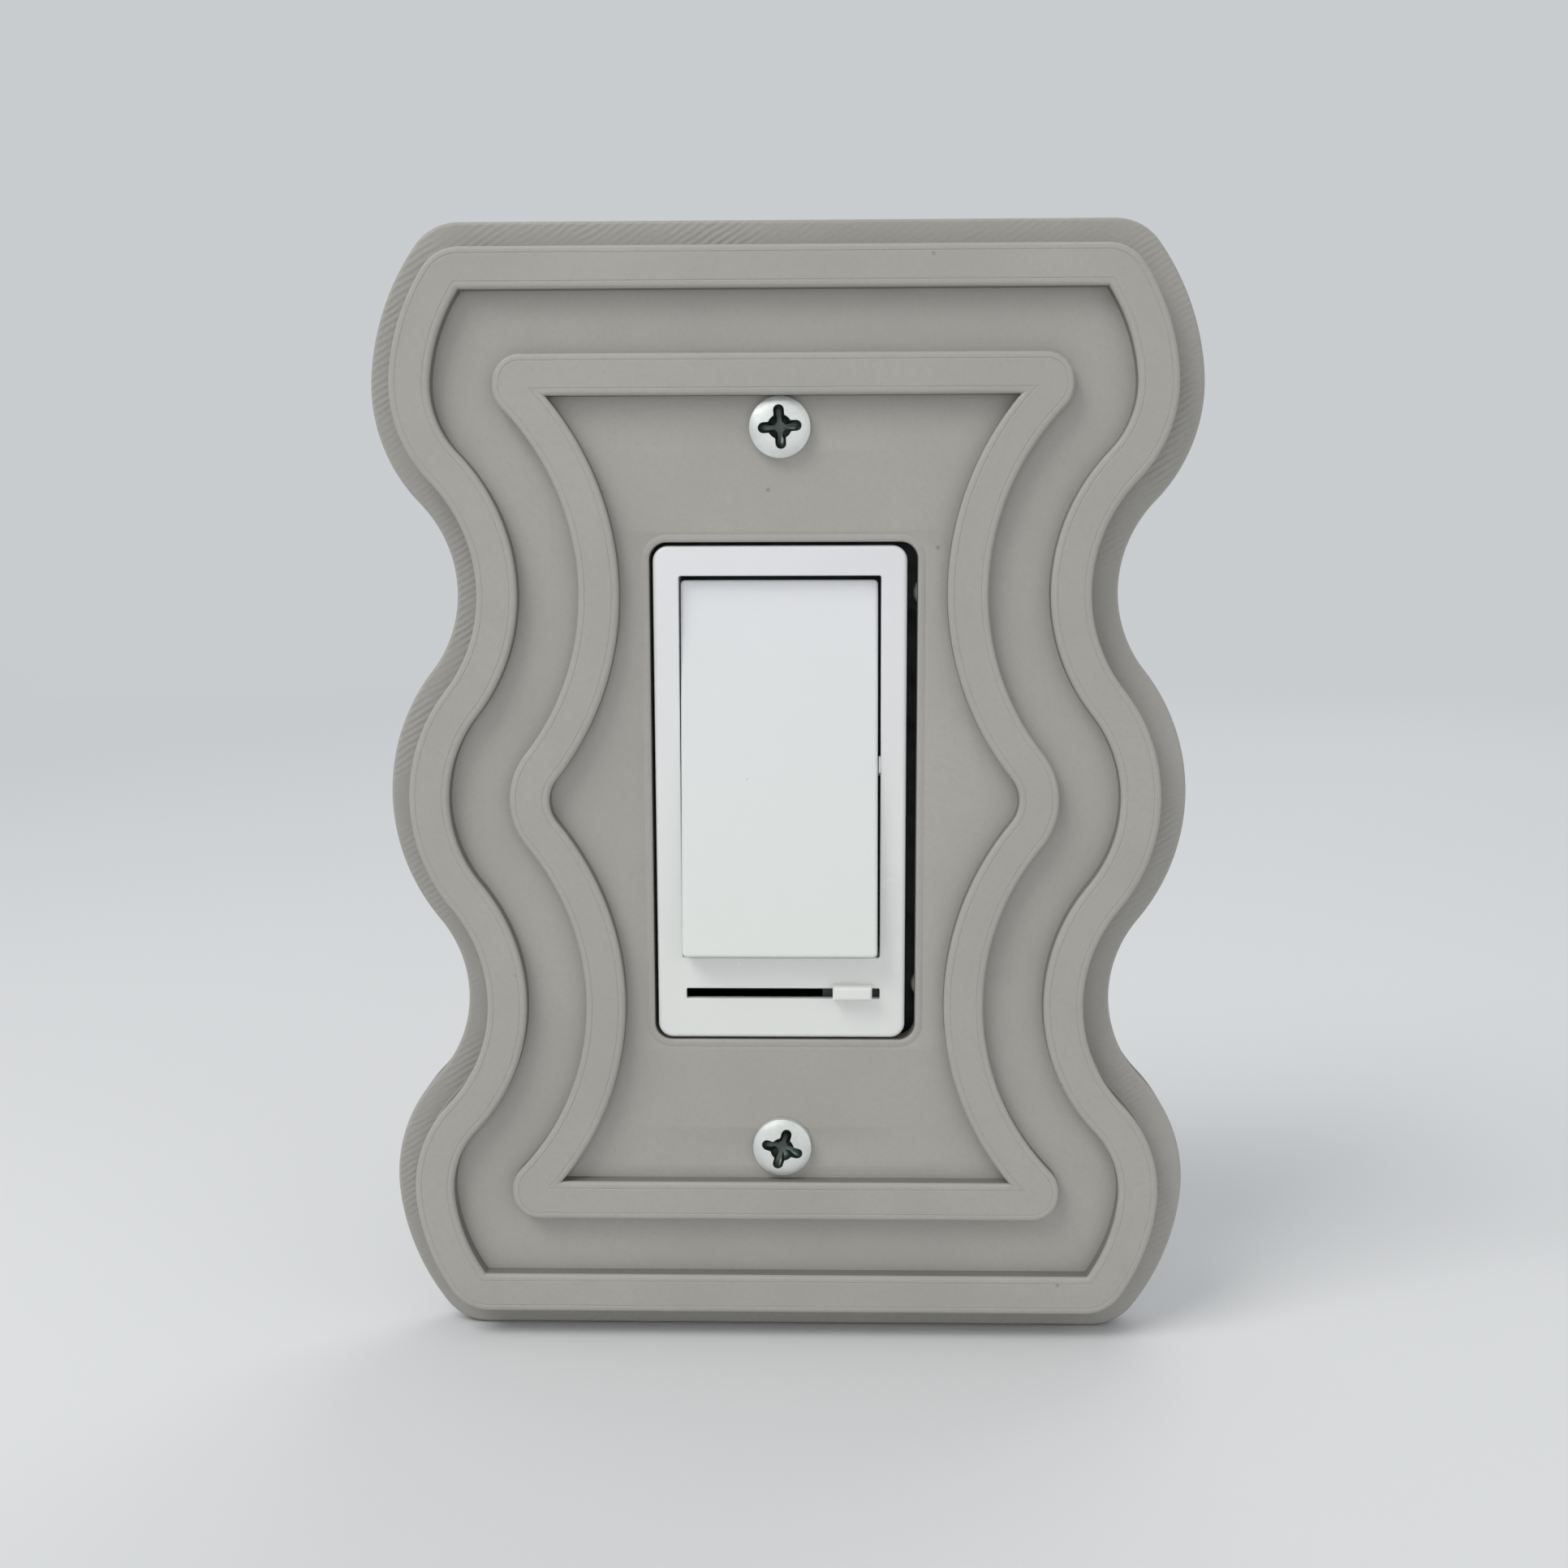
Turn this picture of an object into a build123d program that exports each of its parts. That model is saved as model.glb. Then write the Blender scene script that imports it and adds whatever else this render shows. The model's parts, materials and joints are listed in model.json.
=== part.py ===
"""Paddle dimmer switch in a wavy printed wall plate, ready to screw to a single wall box.

Every piece is modelled in the face frame: x to the right, y up and z out of the wall, with the
wall's surface at z = 0 and the device centred on the axis of its mounting screws. stand() turns
that frame upright, so that in the files up is +Z and the front of the switch faces -Y.
"""

from build123d import *
from math import cos, radians, sin, sqrt
import os

# ---- Standard sizes of a single-gang decorator device -------------------------------------------
PLATE_SCREW_SPACING = 96.84
BOX_SCREW_SPACING = 83.34
FACE_WIDE, FACE_TALL, FACE_CORNER = 33.5, 66.5, 2.0
FACE_X = -0.1
SCREW_R = 1.75
SCREW_CLEARANCE = 0.03
NECK_RELIEF, BOX_SCREW_NECK = 0.35, 2.4

# ---- Levels above the wall ----------------------------------------------------------------------
RIBBON_TOP = 9.7
FIELD_TOP = 7.4
STEP_TOP = 4.95
CAVITY_TOP = 4.4
FACE_TOP = 7.2
YOKE_THICK = 1.5

# ---- Wavy outline: the reference curve is the inner edge of the outer ribbon ---------------------
PLATE_SHIFT = (0.36, -0.31)
HALF_TALL = 66.1
BULGE_CENTRE, BULGE_R = Vector(26.5, 0), 18.0
WAIST_CENTRE = Vector(60.75, 27.55)
WAIST_R = (WAIST_CENTRE - BULGE_CENTRE).length - BULGE_R
SHOULDER_CENTRE = Vector(33.24, 53.97)
SHOULDER_R = (SHOULDER_CENTRE - WAIST_CENTRE).length - WAIST_R
CROWN_R, CROWN_TURN = 23.6, radians(5.5)
CROWN_AIM = Vector(cos(CROWN_TURN), sin(CROWN_TURN))
CROWN_CENTRE = SHOULDER_CENTRE - CROWN_AIM * (CROWN_R - SHOULDER_R)
RIBBON_WIDE = 5.32
STEP_WIDE = 3.78
STEP_SHIFT = 0.35
INNER_EDGE = -13.37
STEP_CORNER, OUTER_CORNER, INNER_CORNER, CAVITY_CORNER = 7.2, 5.8, 3.6, 4.2
RIM_WALL = 5.3
OPENING_WIDE, OPENING_TALL, OPENING_CORNER = 35.35, 67.2, 2.3
OPENING_SHIFT = (0.38, 0.1)
PLATE_HOLE_R = 2.3
BOSS_LOW, BOSS_HIGH = 45.2, 53.0
PRINT_EDGE_R = 0.3

# ---- Paddle and slider --------------------------------------------------------------------------
PIVOT_Y, PIVOT_Z, PIVOT_R = 3.6, 5.0, 1.1
PIVOT_CLEARANCE = 0.05
NUB_REACH, NUB_DEEP, NUB_TALL = 0.25, 0.85, 2.3
TILT = 4.9
PADDLE_WIDE, PADDLE_TALL = 26.15, 50.3
PADDLE_X, PADDLE_Y = -0.22, PIVOT_Y - 0.17
PADDLE_TOP, PADDLE_SKIN, PADDLE_DEEP = 8.05, 1.9, 4.0
WINDOW_LEFT, WINDOW_RIGHT, WINDOW_LOW, WINDOW_HIGH = -13.45, 13.25, -22.1, 29.3
SLOT_LEFT, SLOT_RIGHT, SLOT_LOW, SLOT_HIGH = -12.95, 13.25, -27.75, -26.35
SLOT_MID = (SLOT_LOW + SLOT_HIGH) / 2
SLOT_GAP, SLOT_SKIN, STEM_FOOT = 0.12, 1.0, 3.6
CARRIAGE_TOP = FACE_TOP - SLOT_SKIN - 0.2
SPRING_BORE_R, SPRING_TOP, SPRING_FOOT = 1.65, 4.4, -1.6
PLUNGER_R, PLUNGER_TIP_R, PLUNGER_STEP = 1.58, 1.1, -4.4
KNOB_X, KNOB_WIDE, KNOB_STEM = 9.53, 5.3, 4.6
KNOB_LOW, KNOB_HIGH, KNOB_GRIP = -27.6, -25.75, 1.9
SLIDE_LEFT, SLIDE_RIGHT = -20.0, 1.0

# ---- Body behind the wall -----------------------------------------------------------------------
BODY_WIDE, BODY_TALL, BODY_DEEP = 36.0, 68.0, 28.0
BODY_WALL = 1.8
BOARD_TOP, BOARD_THICK = -14.0, 1.6
BOARD_BACK = BOARD_TOP - BOARD_THICK
BOARD_WIDE, BOARD_TALL = 31.0, 62.0
YOKE_WIDE, YOKE_TALL = 44.5, 74.0
NECK_WIDE, EAR_WIDE, EAR_TALL, EAR_END = 19.8, 33.0, 6.8, 53.0
RIVET_X, RIVET_Y = 19.8, 27.0
POST_WINDOW = (14.0, 12.0)
HOOK_X, HOOK_Y = 13.6, 31.2
TRIAC_X, TRIAC_HOLE_Y, TRIAC_HOLE_R = -6.2, 26.6, 1.65
PAD_THICK = 0.35
LEG_X = (TRIAC_X - 2.54, TRIAC_X, TRIAC_X + 2.54)
LEG_Y = 11.0
GROUND_Y, GROUND_Z, GROUND_R = -9.5, -5.2, 2.05
POCKET_X, TAIL_Z = 15.4, -13.0
TERMINAL_Z = -9.0
TERMINAL_SITES = ((1, 20.0), (1, -14.0), (-1, 20.0))

CHOKE, RING_R, CORE_R, WIRE_R = (-5.5, 20.0), 5.6, 2.2, 0.42
CHOKE_Z = BOARD_BACK - CORE_R - 2 * WIRE_R - 0.04

# ---- Snap switch --------------------------------------------------------------------------------
TIP_Z = -7.62
ROCKER_AXLE_Z, ROCKER_AXLE_R = -10.0, 0.8
ROCKER_TILT = 8.0
ROCKER_TOP, ROCKER_THICK, ROCKER_WIDE = -7.7, 0.8, 5.0
CONTACT_REACH, CONTACT_R, CONTACT_TALL = 7.8, 1.4, 0.7
FIXED_TOP = -11.12


def stand(shape):
    """Turns every solid of a piece from the face frame to the upright frame of the files."""
    solids = [solid.moved(Plane.XZ.location) for solid in shape.solids()]
    return solids[0] if len(solids) == 1 else group(solids)


def block(x, y, z):
    """A box from its low and high limits along each axis."""
    spans = (x, y, z)
    middle = [(low + high) / 2 for low, high in spans]
    return Pos(*middle) * Box(*[high - low for low, high in spans])


def rod(radius, low, high, x=0.0, y=0.0):
    """A round bar along z."""
    return Pos(x, y, (low + high) / 2) * Cylinder(radius, high - low)


def cross_rod(radius, low, high, y, z):
    """A round bar along x."""
    return Pos((low + high) / 2, y, z) * Rot(0, 90, 0) * Cylinder(radius, high - low)


def slab(sketch, low, high):
    """A sketch of the face frame, extruded between two levels."""
    return extrude(Pos(0, 0, low) * sketch, amount=high - low)


def group(solids):
    """Separate solids that share one node."""
    return Compound(children=list(solids))


# ---- Wavy outline -------------------------------------------------------------------------------
def short_arc(centre, start, end):
    """The arc of less than half a turn about centre, from start to end."""
    radius = (start - centre).length
    towards = (start - centre).normalized() + (end - centre).normalized()
    return ThreePointArc(start, centre + towards.normalized() * radius, end)


def wavy_outline(base, corner_r=0.0, shift=0.0):
    """The closed outline that runs `base` outside the reference curve, its four corners rounded to
    corner_r and the whole moved sideways by shift."""
    top = HALF_TALL + base
    to_waist = (WAIST_CENTRE - BULGE_CENTRE).normalized()
    to_shoulder = (SHOULDER_CENTRE - WAIST_CENTRE).normalized()
    bulge_start = BULGE_CENTRE + Vector(BULGE_R + base, 0)
    bulge_end = BULGE_CENTRE + to_waist * (BULGE_R + base)
    waist_end = WAIST_CENTRE + to_shoulder * (WAIST_R - base)
    quarter = [short_arc(BULGE_CENTRE, bulge_start, bulge_end)]

    if SHOULDER_R + base > 0:
        crown_r = CROWN_R + base
        turn = CROWN_CENTRE + CROWN_AIM * crown_r
        rise = top - corner_r - CROWN_CENTRE.Y
        corner_x = CROWN_CENTRE.X + sqrt((crown_r - corner_r) ** 2 - rise**2)
        corner = Vector(corner_x, top - corner_r)
        crown_end = CROWN_CENTRE + (corner - CROWN_CENTRE).normalized() * crown_r
        side_end = Vector(corner_x, top)
        quarter.append(short_arc(WAIST_CENTRE, bulge_end, waist_end))
        quarter.append(short_arc(SHOULDER_CENTRE, waist_end, turn))
        quarter.append(short_arc(CROWN_CENTRE, turn, crown_end))
        if corner_r:
            quarter.append(short_arc(corner, crown_end, side_end))
    else:
        drop = sqrt((WAIST_R - base) ** 2 - (top - WAIST_CENTRE.Y) ** 2)
        side_end = Vector(WAIST_CENTRE.X - drop, top)
        quarter.append(short_arc(WAIST_CENTRE, bulge_end, side_end))

    quarter.append(Line(side_end, Vector(0, top)))
    half = quarter + [edge.mirror(Plane.XZ) for edge in quarter]
    whole = half + [edge.mirror(Plane.YZ) for edge in half]
    return Pos(PLATE_SHIFT[0] + shift, PLATE_SHIFT[1]) * Face(Wire(whole))


def wall_plate():
    """The printed plate: a stepped base, two raised ribbons and a flat field with the opening."""
    step_edge = RIBBON_WIDE + STEP_WIDE
    plate = slab(wavy_outline(step_edge, STEP_CORNER, STEP_SHIFT), 0, STEP_TOP)
    plate += slab(wavy_outline(RIBBON_WIDE, OUTER_CORNER), 0, RIBBON_TOP)
    groove = slab(wavy_outline(0), FIELD_TOP, RIBBON_TOP)
    groove -= slab(wavy_outline(INNER_EDGE + RIBBON_WIDE, INNER_CORNER), FIELD_TOP, RIBBON_TOP)
    plate -= groove + slab(wavy_outline(INNER_EDGE), FIELD_TOP, RIBBON_TOP)
    tops = [f for f in plate.faces() if abs(f.center().Z - RIBBON_TOP) < 1e-4]
    outer_ribbon, inner_ribbon = sorted(tops, key=lambda face: -face.bounding_box().size.X)
    plate = fillet(outer_ribbon.outer_wire().edges() + inner_ribbon.edges(), PRINT_EDGE_R)
    plate -= slab(wavy_outline(step_edge - RIM_WALL, CAVITY_CORNER), 0, CAVITY_TOP)
    opening = Pos(*OPENING_SHIFT) * RectangleRounded(OPENING_WIDE, OPENING_TALL, OPENING_CORNER)
    for side in (1, -1):
        screw_y = side * PLATE_SCREW_SPACING / 2
        inner, outer = sorted((side * BOSS_LOW, side * BOSS_HIGH))
        plate += block((-5, 5), (inner, outer), (YOKE_THICK, CAVITY_TOP + 1))
        shift_x, shift_y = PLATE_SHIFT
        plate -= rod(PLATE_HOLE_R, 0, RIBBON_TOP, shift_x, screw_y + shift_y)
    return plate - slab(opening, 0, RIBBON_TOP)


# ---- Screws -------------------------------------------------------------------------------------
def cross_recess(top, deep, reach):
    """The cross that a screwdriver turns, cut down from `top`."""
    arm = 0.95
    cut = Pos(0, 0, top - deep / 2) * (Box(reach, arm, deep) + Box(arm, reach, deep))
    return cut + Pos(0, 0, top - deep / 2) * Cone(0.5, reach * 0.3, deep)


def machine_screw(head_r, head_tall, length, reach, neck=0.0):
    """A screw with a low domed head, its bearing face at z = 0 and its shank pointing down. Over
    the neck, under the head, the shank has no thread and is a little thinner."""
    edge = head_tall * 0.45
    profile = make_face([
        Line((0, 0), (head_r, 0)),
        Line((head_r, 0), (head_r, edge)),
        ThreePointArc((head_r, edge), (head_r * 0.62, head_tall * 0.9), (0, head_tall)),
        Line((0, head_tall), (0, 0)),
    ])
    head = revolve(Plane.XZ * profile, Axis.Z)
    shank = rod(SCREW_R, -length, -neck)
    shank = chamfer(shank.edges().group_by(Axis.Z)[0], 0.4)
    if neck:
        shank += rod(SCREW_R - NECK_RELIEF, -neck, 0)
    return head + shank - cross_recess(head_tall + 0.1, head_tall * 0.85, reach)


def plate_screws():
    screw = machine_screw(4.0, 1.75, 12.7, 4.9)
    return group(Pos(0, side * PLATE_SCREW_SPACING / 2, FIELD_TOP) * screw for side in (1, -1))


def box_screws():
    screw = machine_screw(3.3, 1.9, 25.4, 4.0, BOX_SCREW_NECK)
    return group(Pos(0, side * BOX_SCREW_SPACING / 2, YOKE_THICK) * screw for side in (1, -1))


def retaining_washers():
    """Fibre squares behind the yoke that keep the box screws from falling out."""
    washer = block((-4.5, 4.5), (-4.5, 4.5), (-0.6, 0)) - rod(SCREW_R + SCREW_CLEARANCE, -1, 1)
    return group(Pos(0, side * BOX_SCREW_SPACING / 2, 0) * washer for side in (1, -1))


# ---- Yoke and body ------------------------------------------------------------------------------
def yoke():
    """The metal strap: heat sink, ears, tapped holes, mounting slots and the earth tab."""
    strap = RectangleRounded(YOKE_WIDE, YOKE_TALL, 3.0) + Rectangle(NECK_WIDE, 2 * EAR_END - 2)
    for side in (1, -1):
        ear_y = side * (EAR_END - EAR_TALL / 2)
        strap += Pos(0, ear_y) * RectangleRounded(EAR_WIDE, EAR_TALL, 3.0)
        for left in (1, -1):
            strap -= Pos(left * 12.6, ear_y) * Circle(1.6)
        strap -= Pos(0, side * PLATE_SCREW_SPACING / 2) * Circle(SCREW_R + SCREW_CLEARANCE)
        strap -= Pos(0, side * BOX_SCREW_SPACING / 2) * SlotOverall(6.6, 4.2)
        for left in (1, -1):
            strap -= Pos(left * RIVET_X, side * RIVET_Y) * Circle(1.25)
            strap -= Pos(left * HOOK_X, side * HOOK_Y) * Rectangle(3.6, 1.9)
    strap -= Pos(0, PIVOT_Y) * RectangleRounded(*POST_WINDOW, 1.0)
    strap -= Pos(0, SLOT_MID) * RectangleRounded(30.0, 5.0, 1.0)
    strap -= Pos(TRIAC_X, TRIAC_HOLE_Y) * Circle(TRIAC_HOLE_R)
    metal = slab(strap, 0, YOKE_THICK)
    tab_x = (-YOKE_WIDE / 2, -YOKE_WIDE / 2 + YOKE_THICK)
    tab = block(tab_x, (-14.5, -4.5), (-9.5, YOKE_THICK))
    tab -= cross_rod(GROUND_R + SCREW_CLEARANCE, -23, -20, GROUND_Y, GROUND_Z)
    return metal + tab


def back_housing():
    """The moulded box behind the yoke, open at the front, with terminal pockets and rivet lugs."""
    box = slab(RectangleRounded(BODY_WIDE, BODY_TALL, 3.0), -BODY_DEEP, 0)
    box = chamfer(box.faces().sort_by(Axis.Z)[0].edges(), 1.2)
    floor = -BODY_DEEP + 2.0
    half_wide, half_tall = BODY_WIDE / 2 - BODY_WALL, BODY_TALL / 2 - BODY_WALL
    hollow = slab(RectangleRounded(2 * half_wide, 2 * half_tall, 1.5), floor, 0)
    for side, left in ((a, b) for a in (1, -1) for b in (1, -1)):
        lug_x = sorted((left * 17.0, left * 22.0))
        box += block(lug_x, (side * RIVET_Y - 3.5, side * RIVET_Y + 3.5), (-5.0, 0))
        box -= rod(1.25, -5.0, 0, left * RIVET_X, side * RIVET_Y)
        ledge_x = sorted((left * 12.0, left * (half_wide + 1)))
        ledge_y = sorted((side * 27.0, side * (half_tall + 1)))
        hollow -= block(ledge_x, ledge_y, (floor - 1, BOARD_TOP - BOARD_THICK))
    for side, y in TERMINAL_SITES:
        backing_x = sorted((side * 13.0, side * (half_wide + 1)))
        hollow -= block(backing_x, (y - 7.5, y + 7.5), (BOARD_TOP + 0.4, -2.5))
    box -= hollow
    for side, y in TERMINAL_SITES:
        pocket_x = sorted((side * POCKET_X, side * 19.0))
        through_x = sorted((side * 12.5, side * (POCKET_X + 0.5)))
        box -= block(pocket_x, (y - 5.6, y + 5.6), (BOARD_TOP + 0.8, -3.6))
        box -= cross_rod(2.15, *through_x, y, TERMINAL_Z)
        box -= block(through_x, (y - 1.6, y + 1.6), (TAIL_Z - 0.1, TAIL_Z + 1.0))
    return box


def housing_rivets():
    rivet = rod(1.2, -5.0, YOKE_THICK) + rod(1.7, -5.7, -5.0)
    head = Pos(0, 0, YOKE_THICK) * Cylinder(2.1, 0.9, align=(Align.CENTER, Align.CENTER, Align.MIN))
    rivet += fillet(head.edges().group_by(Axis.Z)[-1], 0.6)
    return group(Pos(a * RIVET_X, b * RIVET_Y, 0) * rivet for a in (1, -1) for b in (1, -1))


# ---- Wiring terminals ---------------------------------------------------------------------------
def terminal_plates():
    """Brass plates in the side pockets, each with a tail that reaches the circuit board."""
    def plate(side, y):
        x = sorted((side * POCKET_X, side * (POCKET_X + 0.9)))
        body = block(x, (y - 5.2, y + 5.2), (-13.0, -4.2))
        tail = block(sorted((side * 12.1, side * POCKET_X)), (y - 1.5, y + 1.5), (TAIL_Z, TAIL_Z + 0.9))
        tail += block(sorted((side * 12.1, side * 12.9)), (y - 1.5, y + 1.5), (BOARD_TOP, TAIL_Z + 0.9))
        return body + tail - cross_rod(GROUND_R + SCREW_CLEARANCE, -20, 20, y, TERMINAL_Z)
    return group(plate(side, y) for side, y in TERMINAL_SITES)


def clamp_plates():
    """Square pressure plates that the terminal screws pull onto the wires."""
    def plate(side, y):
        x = sorted((side * (POCKET_X + 1.1), side * (POCKET_X + 2.1)))
        body = block(x, (y - 4.4, y + 4.4), (TERMINAL_Z - 3.8, TERMINAL_Z + 3.8))
        return body - cross_rod(GROUND_R + SCREW_CLEARANCE, -20, 20, y, TERMINAL_Z)
    return group(plate(side, y) for side, y in TERMINAL_SITES)


def side_screw(side, seat_x, inner_x, y, z, head_r=3.5, head_tall=1.9):
    """A terminal screw along x, slotted across its head."""
    shank = cross_rod(GROUND_R, *sorted((side * inner_x, side * seat_x)), y, z)
    outer = side * (seat_x + head_tall)
    head = cross_rod(head_r, *sorted((side * seat_x, outer)), y, z)
    rim = head.edges().filter_by(GeomType.CIRCLE).sort_by(Axis.X)[-1 if side > 0 else 0]
    head = fillet([rim], 0.5)
    slot = block(sorted((outer, outer - side * 0.9)), (y - 4, y + 4), (z - 0.55, z + 0.55))
    return shank + head - slot


def terminal_screws():
    seat = POCKET_X + 2.1
    return group(side_screw(side, seat, 13.4, y, TERMINAL_Z) for side, y in TERMINAL_SITES)


def ground_screw():
    return side_screw(-1, YOKE_WIDE / 2, 19.2, GROUND_Y, GROUND_Z)


# ---- Bezel, paddle and slider -------------------------------------------------------------------
def bezel_frame():
    """The white face frame, with the paddle's window, the slider's slot and four snap hooks."""
    outline = Pos(FACE_X, 0) * RectangleRounded(FACE_WIDE, FACE_TALL, FACE_CORNER)
    frame = slab(outline, YOKE_THICK, FACE_TOP)
    frame = fillet(frame.edges().group_by(Axis.Z)[-1], 0.6)
    frame -= block((-14.8, 14.8), (-30.0, -23.8), (YOKE_THICK, FACE_TOP - SLOT_SKIN))
    for left, right, low, high, corner in (
        (WINDOW_LEFT, WINDOW_RIGHT, WINDOW_LOW, WINDOW_HIGH, 0.3),
        (SLOT_LEFT, SLOT_RIGHT, SLOT_LOW, SLOT_HIGH, 0.2),
    ):
        hole = RectangleRounded(right - left, high - low, corner)
        frame -= slab(Pos((left + right) / 2, (low + high) / 2) * hole, YOKE_THICK, FACE_TOP)
    front = frame.faces().sort_by(Axis.Z)[-1]
    inner_edges = [edge for wire in front.inner_wires() for edge in wire.edges()]
    frame = fillet(inner_edges, 0.15)
    nub_x = (WINDOW_RIGHT - NUB_REACH, WINDOW_RIGHT + 0.5)
    nub_y = (PIVOT_Y + 0.65 - NUB_TALL / 2, PIVOT_Y + 0.65 + NUB_TALL / 2)
    nub = block(nub_x, nub_y, (FACE_TOP - 0.1 - NUB_DEEP, FACE_TOP - 0.1))
    frame += fillet(nub.edges().filter_by(Axis.X), 0.3)
    for side in (1, -1):
        socket = sorted((side * 13.0, side * 15.2))
        frame -= cross_rod(PIVOT_R + PIVOT_CLEARANCE, *socket, PIVOT_Y, PIVOT_Z)
        for left in (1, -1):
            frame += Pos(left * HOOK_X, side * HOOK_Y, 0) * snap_hook(side)
    return frame


def snap_hook(side):
    """A tongue through the yoke with a barb that catches behind it."""
    tongue = block((-1.6, 1.6), (-0.7, 0.7), (-1.5, YOKE_THICK + 0.5))
    barb_y = sorted((side * -0.7, side * -1.35))
    return tongue + block((-1.6, 1.6), barb_y, (-1.2, -0.1))


def at_rest(shape):
    """Tips a piece of the paddle about its pivot, top inwards, to the position it rests in."""
    pivot = Axis((0, PIVOT_Y, PIVOT_Z), (1, 0, 0))
    return shape.rotate(pivot, -TILT)


def paddle():
    """The rocking cover: a shallow shell with cross ribs, two pivot pins and the spring's post."""
    outline = Pos(PADDLE_X, PADDLE_Y) * RectangleRounded(PADDLE_WIDE, PADDLE_TALL, 0.6)
    shell = slab(outline, PADDLE_TOP - PADDLE_DEEP, PADDLE_TOP)
    shell = fillet(shell.edges().group_by(Axis.Z)[-1], 0.45)
    hollow = Pos(PADDLE_X, PADDLE_Y) * Rectangle(PADDLE_WIDE - 3.0, PADDLE_TALL - 3.0)
    shell -= slab(hollow, PADDLE_TOP - PADDLE_DEEP, PADDLE_TOP - PADDLE_SKIN)
    for offset in (-12.5, 0, 12.5):
        rib_y = PIVOT_Y + offset
        shell += block((-12.0, 11.7), (rib_y - 0.6, rib_y + 0.6), (PADDLE_TOP - 3.4, PADDLE_TOP - 1.0))
    shell += cross_rod(PIVOT_R, -14.5, -12.5, PIVOT_Y, PIVOT_Z)
    shell += cross_rod(PIVOT_R, 12.2, 14.5, PIVOT_Y, PIVOT_Z)
    shell += rod(2.5, -3.0, PADDLE_TOP - 1.0, 0, PIVOT_Y)
    return at_rest(shell - rod(SPRING_BORE_R, -3.0, SPRING_TOP, 0, PIVOT_Y))


def plunger_spring():
    """The coil that presses the plunger: round wire wound on a helix."""
    wire, turns = 0.2, 6
    coil_r = SPRING_BORE_R - wire - 0.12
    tall = SPRING_TOP - SPRING_FOOT - 2 * wire - 0.1
    path = Pos(0, PIVOT_Y, SPRING_FOOT + wire + 0.05) * Helix(tall / turns, tall, coil_r)
    start = Plane(path @ 0, z_dir=path % 0)
    return at_rest(sweep(start * Circle(wire), path=path))


def plunger():
    """The nylon plunger whose round tip rocks the moving contact."""
    neck_z = TIP_Z + PLUNGER_TIP_R
    half_turn = PLUNGER_TIP_R * sin(radians(45))
    profile = make_face([
        ThreePointArc((0, TIP_Z), (half_turn, neck_z - half_turn), (PLUNGER_TIP_R, neck_z)),
        Line((PLUNGER_TIP_R, neck_z), (PLUNGER_TIP_R, PLUNGER_STEP)),
        Line((PLUNGER_TIP_R, PLUNGER_STEP), (PLUNGER_R, PLUNGER_STEP)),
        Line((PLUNGER_R, PLUNGER_STEP), (PLUNGER_R, SPRING_FOOT)),
        Line((PLUNGER_R, SPRING_FOOT), (0, SPRING_FOOT)),
        Line((0, SPRING_FOOT), (0, TIP_Z)),
    ])
    return at_rest(Pos(0, PIVOT_Y) * revolve(Plane.XZ * profile, Axis.Z))


def slider_knob():
    """The white knob of the brightness slider, with its stem through the slot."""
    cap_x = (KNOB_X - KNOB_WIDE / 2, KNOB_X + KNOB_WIDE / 2)
    cap = block(cap_x, (KNOB_LOW, KNOB_HIGH), (FACE_TOP + 0.12, FACE_TOP + KNOB_GRIP))
    cap = fillet(cap.edges().group_by(Axis.Z)[-1], 0.4)
    return cap + knob_stem(FACE_TOP + 0.3)


def knob_stem(top):
    """The flat stem that passes the slot and plugs into the carriage."""
    stem_x = (KNOB_X - KNOB_STEM / 2, KNOB_X + KNOB_STEM / 2)
    return block(stem_x, (SLOT_LOW + SLOT_GAP, SLOT_HIGH - SLOT_GAP), (STEM_FOOT, top))


def slider_carriage():
    """The black carriage that runs behind the face and takes the knob's stem."""
    body = block((KNOB_X - 4.0, KNOB_X + 4.0), (SLOT_MID - 2.6, SLOT_MID + 2.6), (2.2, CARRIAGE_TOP))
    body -= knob_stem(CARRIAGE_TOP)
    return body - block((KNOB_X - 2.0, KNOB_X + 2.0), (SLOT_MID - 0.6, SLOT_MID + 0.6), (2.2, STEM_FOOT))


def wiper_lever():
    """The metal lever that the carriage drives, running down into the potentiometer."""
    stem = block((KNOB_X - 2.0, KNOB_X + 2.0), (SLOT_MID - 0.6, SLOT_MID + 0.6), (-9.4, STEM_FOOT))
    return stem + block((KNOB_X - 2.6, KNOB_X + 2.6), (SLOT_MID - 1.8, SLOT_MID + 1.8), (-10.6, -9.4))


def potentiometer():
    """The slide potentiometer's case on the board, open along the lever's travel."""
    case = block((-15.3, 15.3), (SLOT_MID - 3.4, SLOT_MID + 3.4), (BOARD_TOP, -7.4))
    case -= block((-14.6, 14.6), (SLOT_MID - 2.6, SLOT_MID + 2.6), (BOARD_TOP + 0.8, -8.1))
    travel = (KNOB_X + SLIDE_LEFT - 2.4, KNOB_X + SLIDE_RIGHT + 2.4)
    return case - block(travel, (SLOT_MID - 0.9, SLOT_MID + 0.9), (-8.1, -7.4))


# ---- Snap switch --------------------------------------------------------------------------------
def rocked(shape):
    """Tips a piece of the moving contact to the closed side, lower end inwards."""
    axle = Axis((0, PIVOT_Y, ROCKER_AXLE_Z), (1, 0, 0))
    return shape.rotate(axle, ROCKER_TILT)


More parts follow.
